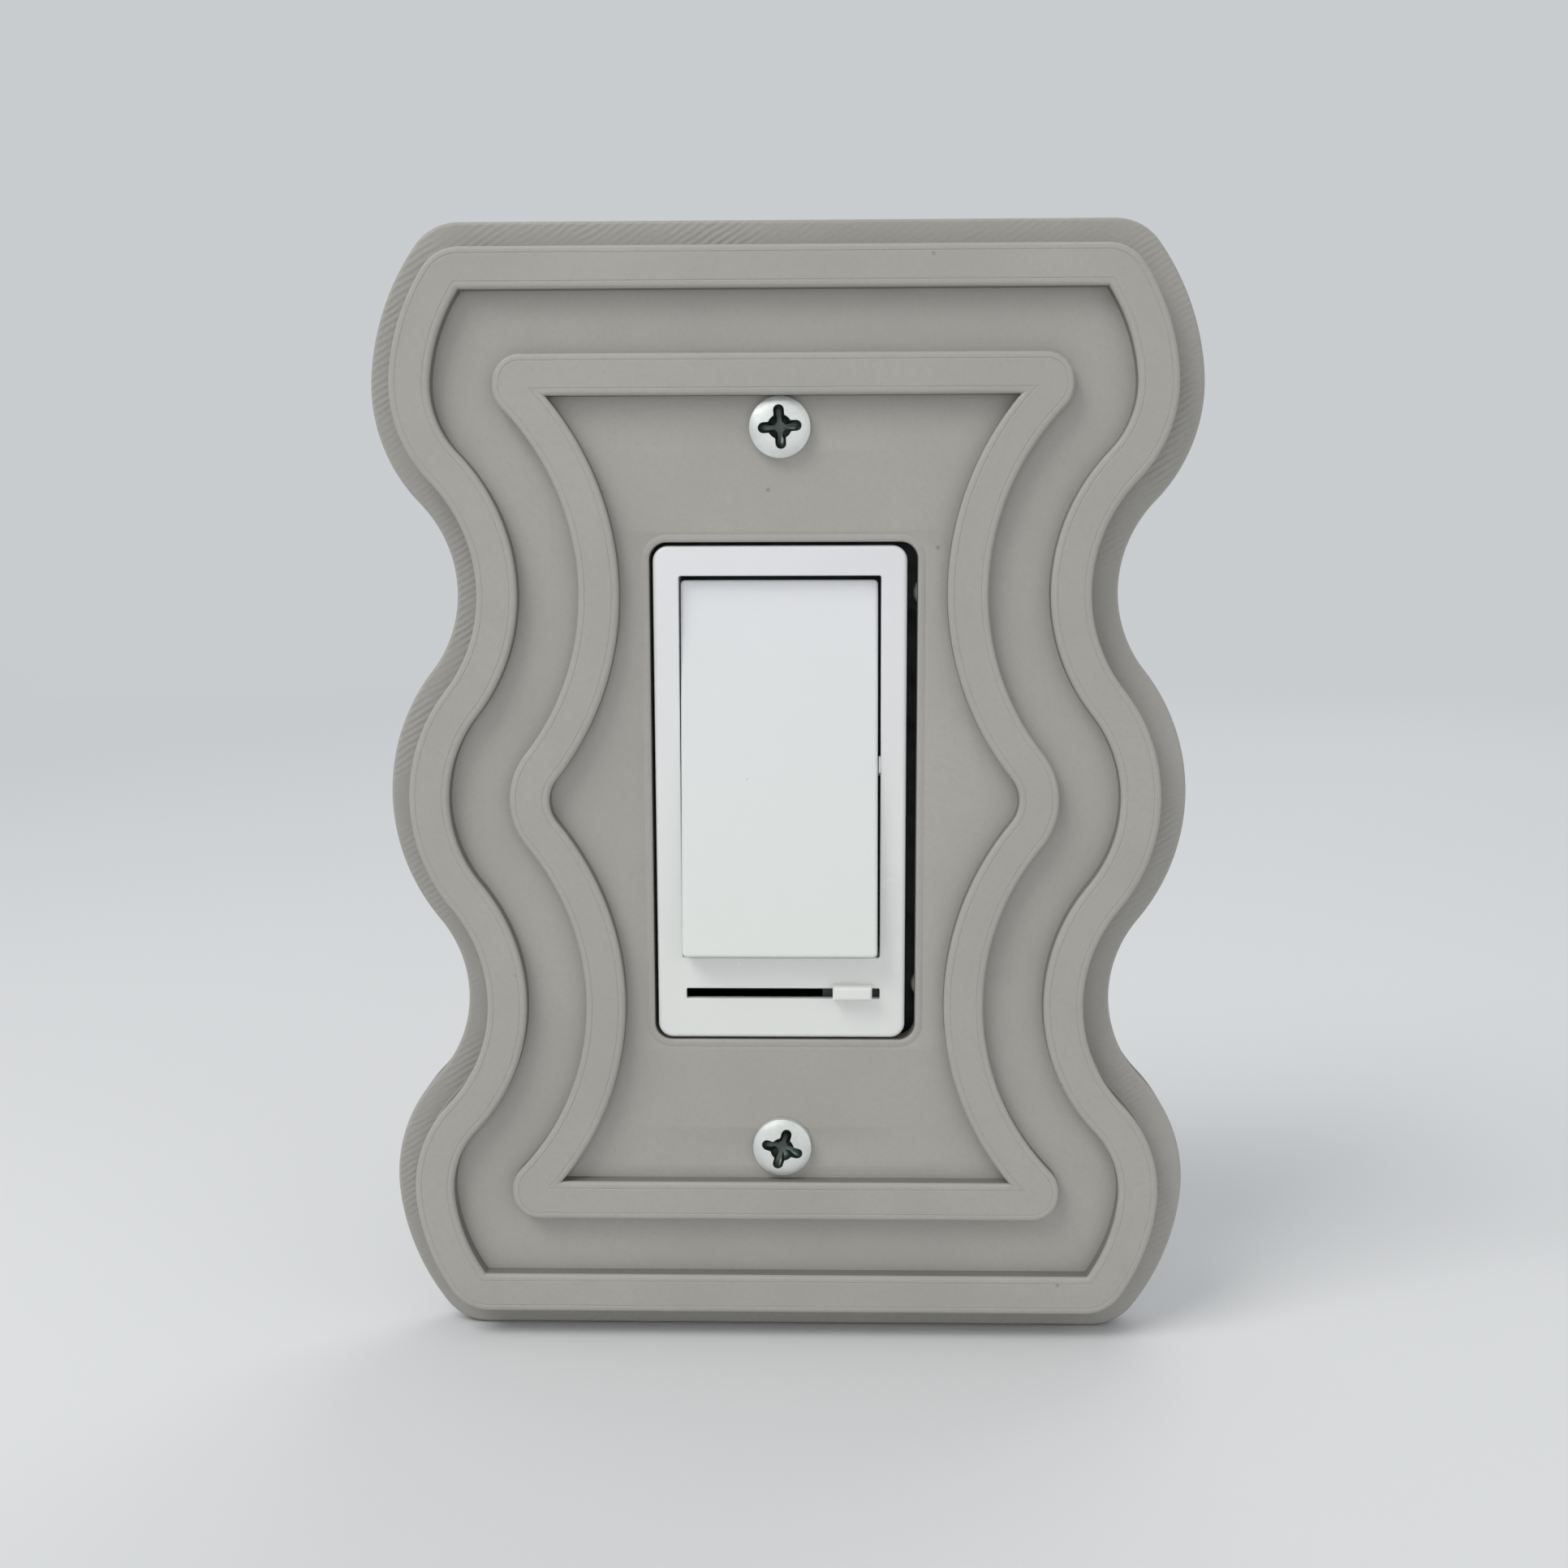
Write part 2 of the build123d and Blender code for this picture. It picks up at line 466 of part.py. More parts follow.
def contact_rocker():
    """The brass see-saw that carries the moving contacts, with two ears round its axle."""
    half = ROCKER_WIDE / 2
    reach = (PIVOT_Y - CONTACT_REACH - 1.6, PIVOT_Y + CONTACT_REACH + 1.6)
    arm = block((-half, half), reach, (ROCKER_TOP - ROCKER_THICK, ROCKER_TOP))
    for side in (1, -1):
        x = sorted((side * half, side * (half - ROCKER_THICK)))
        arm += block(x, (PIVOT_Y - 1.7, PIVOT_Y + 1.7), (ROCKER_AXLE_Z - 1.5, ROCKER_TOP - ROCKER_THICK))
        arm += block(x, (PIVOT_Y - 3.6, PIVOT_Y + 3.6), (ROCKER_TOP - ROCKER_THICK, ROCKER_TOP + 0.5))
    hole = cross_rod(ROCKER_AXLE_R + PIVOT_CLEARANCE, -half, half, PIVOT_Y, ROCKER_AXLE_Z)
    return rocked(arm - hole)


def moving_contacts():
    """Silver buttons with a rounded face, riveted under the two ends of the see-saw."""
    under = ROCKER_TOP - ROCKER_THICK
    button = rod(CONTACT_R, under - CONTACT_TALL, under)
    button = fillet(button.edges().group_by(Axis.Z)[0], 0.45)
    return group(rocked(Pos(0, PIVOT_Y + side * CONTACT_REACH) * button) for side in (1, -1))


def rocker_bracket():
    """The common terminal: a brass saddle on the board whose ears hold the see-saw's axle."""
    foot = block((-4.4, 4.4), (PIVOT_Y - 2.4, PIVOT_Y + 2.4), (BOARD_TOP, BOARD_TOP + 0.8))
    for side in (1, -1):
        x = sorted((side * 3.0, side * 3.8))
        foot += block(x, (PIVOT_Y - 1.7, PIVOT_Y + 1.7), (BOARD_TOP, ROCKER_AXLE_Z + 1.6))
    return foot - cross_rod(ROCKER_AXLE_R + 0.02, -5, 5, PIVOT_Y, ROCKER_AXLE_Z)


def rocker_axle():
    return cross_rod(ROCKER_AXLE_R, -4.2, 4.2, PIVOT_Y, ROCKER_AXLE_Z)


def fixed_contact(side):
    """A brass bridge on the board that carries one fixed contact."""
    y = PIVOT_Y + side * CONTACT_REACH
    bridge = block((-2.2, 2.2), (y - 1.8, y + 1.8), (FIXED_TOP - 0.7, FIXED_TOP))
    leg_y = sorted((y + side * 1.8, y + side * 1.1))
    bridge += block((-2.2, 2.2), leg_y, (BOARD_TOP, FIXED_TOP))
    foot_y = sorted((y + side * 4.5, y + side * 1.1))
    return bridge + block((-2.2, 2.2), foot_y, (BOARD_TOP, BOARD_TOP + 0.7))


def fixed_contact_tips():
    return group(
        rod(CONTACT_R, FIXED_TOP, FIXED_TOP + 0.6, 0, PIVOT_Y + side * CONTACT_REACH) for side in (1, -1)
    )


# ---- Circuit board ------------------------------------------------------------------------------
def circuit_board():
    board = slab(RectangleRounded(BOARD_WIDE, BOARD_TALL, 1.0), BOARD_BACK, BOARD_TOP)
    for x in LEG_X:
        board -= rod(0.55, BOARD_BACK, BOARD_TOP, x, LEG_Y)
    return board


def triac():
    """The power device: a plastic body on a metal tab, three legs bent down to the board."""
    low = -PAD_THICK
    half = (TRIAC_X - 5, TRIAC_X + 5)
    tab = block(half, (TRIAC_HOLE_Y - 11.5, TRIAC_HOLE_Y + 3.0), (low - 1.3, low))
    tab -= rod(TRIAC_HOLE_R, low - 1.3, low, TRIAC_X, TRIAC_HOLE_Y)
    foot = TRIAC_HOLE_Y - 12.5
    body = tab + block(half, (foot, TRIAC_HOLE_Y - 3.5), (low - 4.4, low - 0.4))
    for x in LEG_X:
        body += block((x - 0.4, x + 0.4), (LEG_Y - 0.3, foot + 0.1), (low - 2.9, low - 2.4))
        body += block((x - 0.4, x + 0.4), (LEG_Y - 0.3, LEG_Y + 0.3), (BOARD_BACK - 0.6, low - 2.4))
    return body


def insulator_pad():
    """The grey sheet that keeps the triac's tab off the yoke."""
    pad = block((TRIAC_X - 5.6, TRIAC_X + 5.6), (TRIAC_HOLE_Y - 13, TRIAC_HOLE_Y + 3.05), (-PAD_THICK, 0))
    return pad - rod(TRIAC_HOLE_R, -PAD_THICK, 0, TRIAC_X, TRIAC_HOLE_Y)


def triac_rivet():
    shank = rod(1.6, -1.65, YOKE_THICK, TRIAC_X, TRIAC_HOLE_Y)
    return shank + rod(2.6, -2.3, -1.65, TRIAC_X, TRIAC_HOLE_Y)


def choke_core():
    return Pos(*CHOKE, CHOKE_Z) * Torus(RING_R, CORE_R)


def choke_winding():
    """Turns of enamelled wire round the choke's core, as separate hoops."""
    count = 16
    hoop = Pos(RING_R, 0, 0) * Rot(90, 0, 0) * Torus(CORE_R + WIRE_R + 0.03, WIRE_R)
    step = 300 / count
    centre = Pos(*CHOKE, CHOKE_Z)
    return group(centre * Rot(0, 0, index * step) * hoop for index in range(count))


def film_capacitor():
    case = block((4.8, 11.3), (12.5, 26.5), (BOARD_BACK - 9.0, BOARD_BACK))
    return fillet(case.edges().filter_by(Axis.Z), 0.8)


def small_resistors():
    def resistor(y):
        body = Pos(8.5, y, BOARD_BACK - 1.3) * Rot(0, 90, 0) * Cylinder(1.2, 6.0)
        for x in (3.9, 13.1):
            inner = 5.6 if x < 8 else 11.4
            body += cross_rod(0.3, *sorted((x, inner)), y, BOARD_BACK - 1.3)
            body += rod(0.3, BOARD_BACK - 1.3, BOARD_BACK, x, y)
        return body
    return group(resistor(y) for y in (9.0, 5.4))


PARTS = {
    "wall_plate": wall_plate,
    "plate_screws": plate_screws,
    "bezel_frame": bezel_frame,
    "paddle": paddle,
    "plunger": plunger,
    "plunger_spring": plunger_spring,
    "slider_knob": slider_knob,
    "slider_carriage": slider_carriage,
    "wiper_lever": wiper_lever,
    "potentiometer": potentiometer,
    "yoke": yoke,
    "box_screws": box_screws,
    "retaining_washers": retaining_washers,
    "back_housing": back_housing,
    "housing_rivets": housing_rivets,
    "terminal_plates": terminal_plates,
    "clamp_plates": clamp_plates,
    "terminal_screws": terminal_screws,
    "ground_screw": ground_screw,
    "contact_rocker": contact_rocker,
    "moving_contacts": moving_contacts,
    "rocker_bracket": rocker_bracket,
    "rocker_axle": rocker_axle,
    "fixed_contact_upper": lambda: fixed_contact(1),
    "fixed_contact_lower": lambda: fixed_contact(-1),
    "fixed_contact_tips": fixed_contact_tips,
    "circuit_board": circuit_board,
    "triac": triac,
    "insulator_pad": insulator_pad,
    "triac_rivet": triac_rivet,
    "choke_core": choke_core,
    "choke_winding": choke_winding,
    "film_capacitor": film_capacitor,
    "small_resistors": small_resistors,
}


def main():
    os.makedirs("parts", exist_ok=True)
    for name, make in PARTS.items():
        export_step(stand(make()), f"parts/{name}.step")


main()
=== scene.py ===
"""Looks for the paddle dimmer switch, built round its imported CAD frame."""

import json
from math import atan2, cos, pi, radians, sin, sqrt, tau

import bmesh
import bpy
from mathutils import Matrix, Vector
from mathutils.geometry import tessellate_polygon


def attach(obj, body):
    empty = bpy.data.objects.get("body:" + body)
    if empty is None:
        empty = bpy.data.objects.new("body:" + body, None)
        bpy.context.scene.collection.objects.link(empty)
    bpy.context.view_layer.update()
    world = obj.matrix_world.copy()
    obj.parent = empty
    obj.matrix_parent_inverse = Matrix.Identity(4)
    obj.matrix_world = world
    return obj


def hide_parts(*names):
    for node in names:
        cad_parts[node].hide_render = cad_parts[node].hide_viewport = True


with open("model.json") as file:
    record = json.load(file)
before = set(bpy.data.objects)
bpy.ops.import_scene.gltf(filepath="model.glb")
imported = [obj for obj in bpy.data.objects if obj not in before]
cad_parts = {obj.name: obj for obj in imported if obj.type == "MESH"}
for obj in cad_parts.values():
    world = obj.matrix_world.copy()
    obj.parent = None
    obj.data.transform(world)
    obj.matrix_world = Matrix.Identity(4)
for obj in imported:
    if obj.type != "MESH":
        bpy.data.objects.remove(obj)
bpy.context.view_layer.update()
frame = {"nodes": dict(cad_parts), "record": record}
MM = 0.001


# ---- Materials ----------------------------------------------------------------------------------
def new_material(name):
    """An empty material with its node tree and shader."""
    made = bpy.data.materials.new(name)
    made.use_nodes = True
    tree = made.node_tree
    return made, tree, tree.nodes["Principled BSDF"]


def node(tree, kind, inputs=(), **fields):
    """Adds a node, sets its fields and fills its inputs with values or links."""
    made = tree.nodes.new(kind)
    for field, value in fields.items():
        setattr(made, field, value)
    for key, value in dict(inputs).items():
        if isinstance(value, bpy.types.NodeSocket):
            tree.links.new(value, made.inputs[key])
        else:
            made.inputs[key].default_value = value
    return made


def place(tree, scale=(1, 1, 1), turn=(0, 0, 0)):
    """Coordinates on the object in millimetres, scaled and turned."""
    coords = node(tree, "ShaderNodeTexCoord").outputs["Object"]
    size = [factor / MM for factor in scale]
    return node(tree, "ShaderNodeMapping", {"Vector": coords, "Scale": size, "Rotation": turn}).outputs[0]


def noise(tree, where, scale, detail=3.0, rough=0.5):
    return node(tree, "ShaderNodeTexNoise",
                {"Vector": where, "Scale": scale, "Detail": detail, "Roughness": rough}).outputs["Fac"]


def between(tree, fac, low, high, start=0.0, end=1.0):
    """Maps a factor from start..end to low..high."""
    return node(tree, "ShaderNodeMapRange",
                {"Value": fac, "From Min": start, "From Max": end, "To Min": low, "To Max": high}).outputs[0]


def blend(tree, fac, one, two):
    """A colour between two colours."""
    mixed = node(tree, "ShaderNodeMix", {"Factor": fac}, data_type="RGBA")
    for index, value in ((6, one), (7, two)):
        if isinstance(value, bpy.types.NodeSocket):
            tree.links.new(value, mixed.inputs[index])
        else:
            mixed.inputs[index].default_value = (*value, 1)
    return mixed.outputs[2]


def maths(tree, what, one, two=0.0):
    return node(tree, "ShaderNodeMath", {0: one, 1: two}, operation=what).outputs[0]


def bump(tree, shader, height, depth_mm, strength=1.0, under=None):
    """Bump of a real depth in millimetres, on top of another bump's normal."""
    made = node(tree, "ShaderNodeBump", {"Height": height, "Distance": depth_mm * MM, "Strength": strength})
    if under is not None:
        tree.links.new(under, made.inputs["Normal"])
    tree.links.new(made.outputs[0], shader.inputs["Normal"])
    return made.outputs[0]


PRINT_GREY = (0.405, 0.394, 0.366)


def filament(name, line_turn, line_mm, line_depth, light=PRINT_GREY, patch=(0.38, 0.66), grain_mm=0.02):
    """Printed grey plastic: matte, cloudy and specked, with fine lines from the nozzle's passes that
    stand out where a slow noise lies within `patch`."""
    made, tree, shader = new_material(name)
    where = place(tree)
    cloud = noise(tree, where, 0.06, 4.0)
    speck = noise(tree, where, 1.7, 2.0)
    dull = tuple(part * 0.945 for part in light)
    base = blend(tree, between(tree, cloud, 0, 1, 0.35, 0.65), dull, light)
    shade = tuple(part * 0.86 for part in light)
    fine = blend(tree, between(tree, speck, 0, 0.35, 0.45, 0.75), base, shade)
    dots = node(tree, "ShaderNodeTexVoronoi", {"Vector": where, "Scale": 0.09}).outputs["Distance"]
    dot = between(tree, dots, 1.0, 0.0, 0.012, 0.035)
    colour = blend(tree, maths(tree, "MULTIPLY", dot, 0.55), fine, tuple(part * 0.4 for part in light))
    tree.links.new(colour, shader.inputs["Base Color"])
    tree.links.new(between(tree, cloud, 0.50, 0.62), shader.inputs["Roughness"])
    shader.inputs["Specular IOR Level"].default_value = 0.42
    along = place(tree, (1, 1, 1), line_turn)
    wobble = between(tree, noise(tree, where, 0.35, 2.0), -0.35 * line_mm, 0.35 * line_mm)
    axis = node(tree, "ShaderNodeSeparateXYZ", {0: along}).outputs[0]
    wave = maths(tree, "SINE", maths(tree, "MULTIPLY", maths(tree, "ADD", axis, wobble), tau / line_mm))
    patchy = between(tree, noise(tree, where, 0.11, 3.0), 0.15, 1.0, *patch)
    grain = bump(tree, shader, noise(tree, where, 2.4, 4.0, 0.62), grain_mm, 0.5)
    bump(tree, shader, maths(tree, "MULTIPLY", wave, patchy), line_depth, 1.0, grain)
    return made


LOW_TONE_SPAN = (-26, 28)  # heights in millimetres where the lower, greener tone is full and gone
SPECK_GREY = (0.35, 0.35, 0.33)


def plastic(name, colour, rough, grain_mm=0.004, tint=None, specks=0.0, coat=0.0, low_tone=None):
    """Moulded plastic with a faint grain, slight mottling, dust specks and a greener tone towards the
    bottom.
    """
    made, tree, shader = new_material(name)
    where = place(tree)
    cloud = noise(tree, where, 0.07, 3.0)
    tint = tint or tuple(part * 0.96 for part in colour)
    base = blend(tree, between(tree, cloud, 0, 1, 0.3, 0.7), colour, tint)
    if low_tone:
        height = node(tree, "ShaderNodeSeparateXYZ", {0: where}).outputs[2]
        base = blend(tree, between(tree, height, 1, 0, *LOW_TONE_SPAN), base, low_tone)
    if specks:
        dots = node(tree, "ShaderNodeTexVoronoi", {"Vector": where, "Scale": 0.13}).outputs["Distance"]
        dot = between(tree, dots, 1.0, 0.0, 0.008, 0.022)
        base = blend(tree, maths(tree, "MULTIPLY", dot, specks), base, SPECK_GREY)
    tree.links.new(base, shader.inputs["Base Color"])
    uneven = between(tree, noise(tree, where, 0.3, 3.0), rough * 0.88, rough * 1.12)
    tree.links.new(uneven, shader.inputs["Roughness"])
    shader.inputs["Coat Weight"].default_value = coat
    shader.inputs["Coat Roughness"].default_value = 0.08
    bump(tree, shader, noise(tree, where, 1.2, 2.0), grain_mm)
    return made


def metal(name, colour, rough, grain=(1, 1, 1), dark=None, depth=0.004, wear=0.35):
    """Plated or stamped metal with fine directional lines and cloudy tarnish."""
    made, tree, shader = new_material(name)
    where = place(tree)
    lines = noise(tree, place(tree, grain), 1.6, 4.0, 0.6)
    cloud = noise(tree, where, 0.25, 4.0)
    dark = dark or tuple(c * 0.72 for c in colour)
    base = blend(tree, between(tree, cloud, 0, 1, 0.62 - wear * 0.4, 0.72), colour, dark)
    tree.links.new(base, shader.inputs["Base Color"])
    tree.links.new(between(tree, lines, rough * 0.8, rough * 1.3, 0.3, 0.7), shader.inputs["Roughness"])
    shader.inputs["Metallic"].default_value = 1.0
    bump(tree, shader, lines, depth)
    return made


PRINT_TOP = filament("print_top", (0, radians(45), 0), 0.42, 0.004)
# The step's grey is a little darker than the top's: painted shade from the ribbon standing over it. Its
# coarser lines are the print's raster.
PRINT_STEP_SHADED = filament("print_step_painted_shade", (0, radians(-58), 0), 0.8, 0.030, (0.378, 0.368, 0.342),
                      (0.44, 0.70), 0.05)
# Painted shade: every wall face gets a grey about half as bright as the top, standing in for the contact
# shade along the ribbons and grooves.
PRINT_WALL_SHADED = filament("print_wall_painted_shade", (0, 0, radians(90)), 0.3, 0.030, (0.21, 0.203, 0.188))
LOOKS = {
    "face_white": plastic("face_white", (0.800, 0.800, 0.820), 0.26, 0.002, coat=0.25,
                          low_tone=(0.785, 0.800, 0.775)),
    "paddle_white": plastic("paddle_white", (0.785, 0.795, 0.815), 0.42, 0.004, (0.770, 0.785, 0.800),
                            0.5, low_tone=(0.760, 0.798, 0.762)),
    "carriage_black": plastic("carriage_black", (0.034, 0.028, 0.036), 0.5),
    "nylon_white": plastic("nylon_white", (0.66, 0.65, 0.60), 0.45),
    "screw_nickel": metal("screw_nickel", (0.83, 0.855, 0.835), 0.56, dark=(0.72, 0.74, 0.72)),
    "spring_steel": metal("spring_steel", (0.55, 0.55, 0.55), 0.25),
    # The yoke is dark anodised, and is made near-black so that it also paints the shade seen down the gap
    # beside the paddle.
    "yoke_aluminium": metal("yoke_dark_and_gap_shade", (0.030, 0.032, 0.032), 0.42, (0.2, 0.2, 2.0),
                            (0.012, 0.012, 0.012)),
    "fibre_red": plastic("fibre_red", (0.26, 0.035, 0.02), 0.7, 0.03, (0.18, 0.02, 0.012)),
    "housing_dark": plastic("housing_dark", (0.030, 0.031, 0.034), 0.42, 0.012, (0.045, 0.046, 0.050)),
    "brass_plain": metal("brass_plain", (0.72, 0.50, 0.20), 0.28, (0.3, 0.3, 3.0)),
    "contact_silver": metal("contact_silver", (0.82, 0.80, 0.76), 0.2),
    "ground_green": metal("ground_green", (0.03, 0.30, 0.10), 0.35),
    "board_green": plastic("board_green", (0.012, 0.11, 0.045), 0.3, 0.01, (0.02, 0.16, 0.06)),
    "epoxy_black": plastic("epoxy_black", (0.018, 0.018, 0.019), 0.5, 0.02),
    "pad_grey": plastic("pad_grey", (0.35, 0.35, 0.36), 0.7),
    "ferrite_grey": plastic("ferrite_grey", (0.06, 0.06, 0.065), 0.75, 0.03),
    "copper_enamel": metal("copper_enamel", (0.60, 0.20, 0.07), 0.22),
    "capacitor_ochre": plastic("capacitor_ochre", (0.55, 0.33, 0.03), 0.3, 0.006, coat=0.3),
    "resistor_tan": plastic("resistor_tan", (0.50, 0.36, 0.20), 0.4, 0.02),
}
# Painted shade: the cross recess's faces get a near-black metal that stands in for the shade inside the
# recess.
SCREW_RECESS_SHADED = metal("screw_recess_painted_shade", (0.17, 0.205, 0.185), 0.36, dark=(0.03, 0.04, 0.035), wear=1.0)
SLOTS = {item["node"]: item["material_slot"] for item in frame["record"]["subparts"]}


# ---- Mesh building ------------------------------------------------------------------------------
SHARP_EDGE = radians(32)


class Builder:
    """Collects points and faces in millimetres, with x to the right, y up and z out of the wall,
    measured from `origin`."""

    def __init__(self):
        self.mesh = bmesh.new()
        self.origin = (0, 0, 0)

    def ring(self, points, z):
        """A closed row of points at one level."""
        ox, oy, oz = self.origin
        return [self.mesh.verts.new(((x + ox) * MM, -(z + oz) * MM, (y + oy) * MM)) for x, y in points]

    def bowl(self, points, height):
        """A ring whose points stand at a height that depends on their distance from the axis."""
        return [self.ring([(x, y)], height(sqrt(x * x + y * y)))[0] for x, y in points]

    def band(self, one, two, look):
        """Quads between two rings of the same length."""
        count = len(one)
        for index in range(count):
            after = (index + 1) % count
            face = self.mesh.faces.new((one[index], two[index], two[after], one[after]))
            face.material_index = look

    def skin(self, profile):
        """Bands through a list of (ring, look of the band before it)."""
        for (one, _), (two, look) in zip(profile, profile[1:]):
            self.band(one, two, look)

    def fill(self, rings, look):
        """Flat triangles inside the first ring and outside the others."""
        corners = [vert for ring in rings for vert in ring]
        for tri in tessellate_polygon([[vert.co for vert in ring] for ring in rings]):
            face = self.mesh.faces.new([corners[index] for index in tri])
            face.material_index = look

    def done(self, name, looks, body, replaced):
        """Turns the mesh into a piece that rides on its body and stands for its CAD nodes."""
        bmesh.ops.remove_doubles(self.mesh, verts=self.mesh.verts, dist=1e-7)
        bmesh.ops.recalc_face_normals(self.mesh, faces=self.mesh.faces)
        data = bpy.data.meshes.new(name)
        self.mesh.to_mesh(data)
        self.mesh.free()
        for look in looks:
            data.materials.append(look)
        data.polygons.foreach_set("use_smooth", [True] * len(data.polygons))
        data.set_sharp_from_angle(angle=SHARP_EDGE)
        made = bpy.data.objects.new(name, data)
        bpy.context.scene.collection.objects.link(made)
        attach(made, body)
        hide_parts(*replaced)


def rolled(steps=5):
    """Points of a quarter round from its wall (0, 0) to its top (1, 1)."""
    angles = [pi / 2 * index / steps for index in range(steps + 1)]
    return [(1 - cos(a), sin(a)) for a in angles]


# ---- Wavy outline -------------------------------------------------------------------------------
HALF_TALL = 66.1
BULGE, BULGE_R = Vector((26.5, 0)), 18.0
WAIST = Vector((60.75, 27.55))
WAIST_R = (WAIST - BULGE).length - BULGE_R
SHOULDER = Vector((33.24, 53.97))
SHOULDER_R = (SHOULDER - WAIST).length - WAIST_R
CROWN_R, CROWN_TURN = 23.6, radians(5.5)
CROWN_AIM = Vector((cos(CROWN_TURN), sin(CROWN_TURN)))
CROWN = SHOULDER - CROWN_AIM * (CROWN_R - SHOULDER_R)
PLATE_SHIFT, STEP_SHIFT = (0.36, -0.31), 0.35
SIDE_POINTS, CORNER_POINTS, TOP_POINTS = 110, 12, 14


def arc(centre, start, end, step=0.25):
    """Points along the short arc about centre, from start to end."""
    radius = (start - centre).length
    one, two = start - centre, end - centre
    turn = one.angle_signed(two)
    count = max(2, int(abs(turn) * radius / step))
    first = Vector((1, 0)).angle_signed(one) if one.length else 0
    return [
        centre + Vector((cos(-first - turn * i / count), sin(-first - turn * i / count))) * radius
        for i in range(count + 1)
    ]


def evenly(points, count):
    """The same path with `count` steps of equal length."""
    lengths = [0.0]
    for one, two in zip(points, points[1:]):
        lengths.append(lengths[-1] + (two - one).length)
    out, index = [], 0
    for step in range(count + 1):
        target = lengths[-1] * step / count
        while index < len(points) - 2 and lengths[index + 1] < target:
            index += 1
        span = lengths[index + 1] - lengths[index]
        out.append(points[index].lerp(points[index + 1], (target - lengths[index]) / span if span else 0))
    return out


def wavy(base, corner_r=0.0, shift=0.0):
    """The closed outline that runs `base` outside the reference curve, its four corners rounded to
    corner_r and the whole moved sideways by shift."""
    top = HALF_TALL + base
    to_waist, to_shoulder = (WAIST - BULGE).normalized(), (SHOULDER - WAIST).normalized()
    bulge_end = BULGE + to_waist * (BULGE_R + base)
    path = arc(BULGE, BULGE + Vector((BULGE_R + base, 0)), bulge_end)
    if SHOULDER_R + base > 0:
        waist_end = WAIST + to_shoulder * (WAIST_R - base)
        crown_r = CROWN_R + base
        turn = CROWN + CROWN_AIM * crown_r
        rise = top - corner_r - CROWN.y
        corner = Vector((CROWN.x + sqrt((crown_r - corner_r) ** 2 - rise**2), top - corner_r))
        side_end = CROWN + (corner - CROWN).normalized() * crown_r
        path += arc(WAIST, bulge_end, waist_end)[1:] + arc(SHOULDER, waist_end, turn)[1:]
        path += arc(CROWN, turn, side_end)[1:]
    else:
        drop = sqrt((WAIST_R - base) ** 2 - (top - WAIST.y) ** 2)
        side_end = corner = Vector((WAIST.x - drop, top))
        path += arc(WAIST, bulge_end, side_end)[1:]
    quarter = evenly(path, SIDE_POINTS)
    first = atan2(side_end.y - corner.y, side_end.x - corner.x) if corner_r else 0.0
    for index in range(1, CORNER_POINTS + 1):
        angle = first + (pi / 2 - first) * index / CORNER_POINTS
        quarter.append(corner + Vector((cos(angle), sin(angle))) * corner_r)
    for index in range(1, TOP_POINTS + 1):
        quarter.append(Vector((corner.x * (1 - index / TOP_POINTS), top)))
    quarter = [(p.x, p.y) for p in quarter]
    upper = quarter + [(-x, y) for x, y in reversed(quarter[:-1])]
    whole = upper + [(x, -y) for x, y in reversed(upper[1:-1])]
    return [(x + PLATE_SHIFT[0] + shift, y + PLATE_SHIFT[1]) for x, y in whole]


def rounded(wide, tall, corner, grow=0.0, centre=(0, 0), steps=10):
    """A rectangle with round corners, anticlockwise, grown all round."""
    out = []
    half_x, half_y = wide / 2 - corner, tall / 2 - corner
    for index, (sx, sy) in enumerate(((1, 1), (-1, 1), (-1, -1), (1, -1))):
        for step in range(steps + 1):
            angle = pi / 2 * (index + step / steps)
            reach = corner + grow
            x, y = centre[0] + sx * half_x, centre[1] + sy * half_y
            out.append((x + reach * cos(angle), y + reach * sin(angle)))
    return out


def circle(radius, centre=(0, 0), count=48, turn=0.0):
    angles = [tau * index / count + turn for index in range(count)]
    return [(centre[0] + radius * cos(angle), centre[1] + radius * sin(angle)) for angle in angles]


# ---- Wall plate ---------------------------------------------------------------------------------
RIBBON_TOP, FIELD_TOP, STEP_TOP, CAVITY_TOP, YOKE_TOP = 9.7, 7.4, 4.95, 4.4, 1.5
RIBBON, STEP, INNER, RIM_WALL = 5.32, 3.78, -13.37, 5.3
STEP_CORNER, OUTER_CORNER, INNER_CORNER, CAVITY_CORNER = 7.2, 5.8, 3.6, 4.2
ROLL, STEP_ROLL, LIP_ROLL, SEAM = 0.5, 0.55, 0.3, 0.9
RIM_EDGE = 0.25
SCREW_Y, HOLE_R, HOLE_EDGE = 48.42, 2.3, 0.3
BOSS_MID, BOSS_WIDE, BOSS_TALL = 49.1, 10.0, 7.8
OPENING_WIDE, OPENING_TALL, OPENING_CORNER, OPENING_AT = 35.35, 67.2, 2.3, (0.38, 0.1)
TOP, LEDGE, WALL = 0, 1, 2


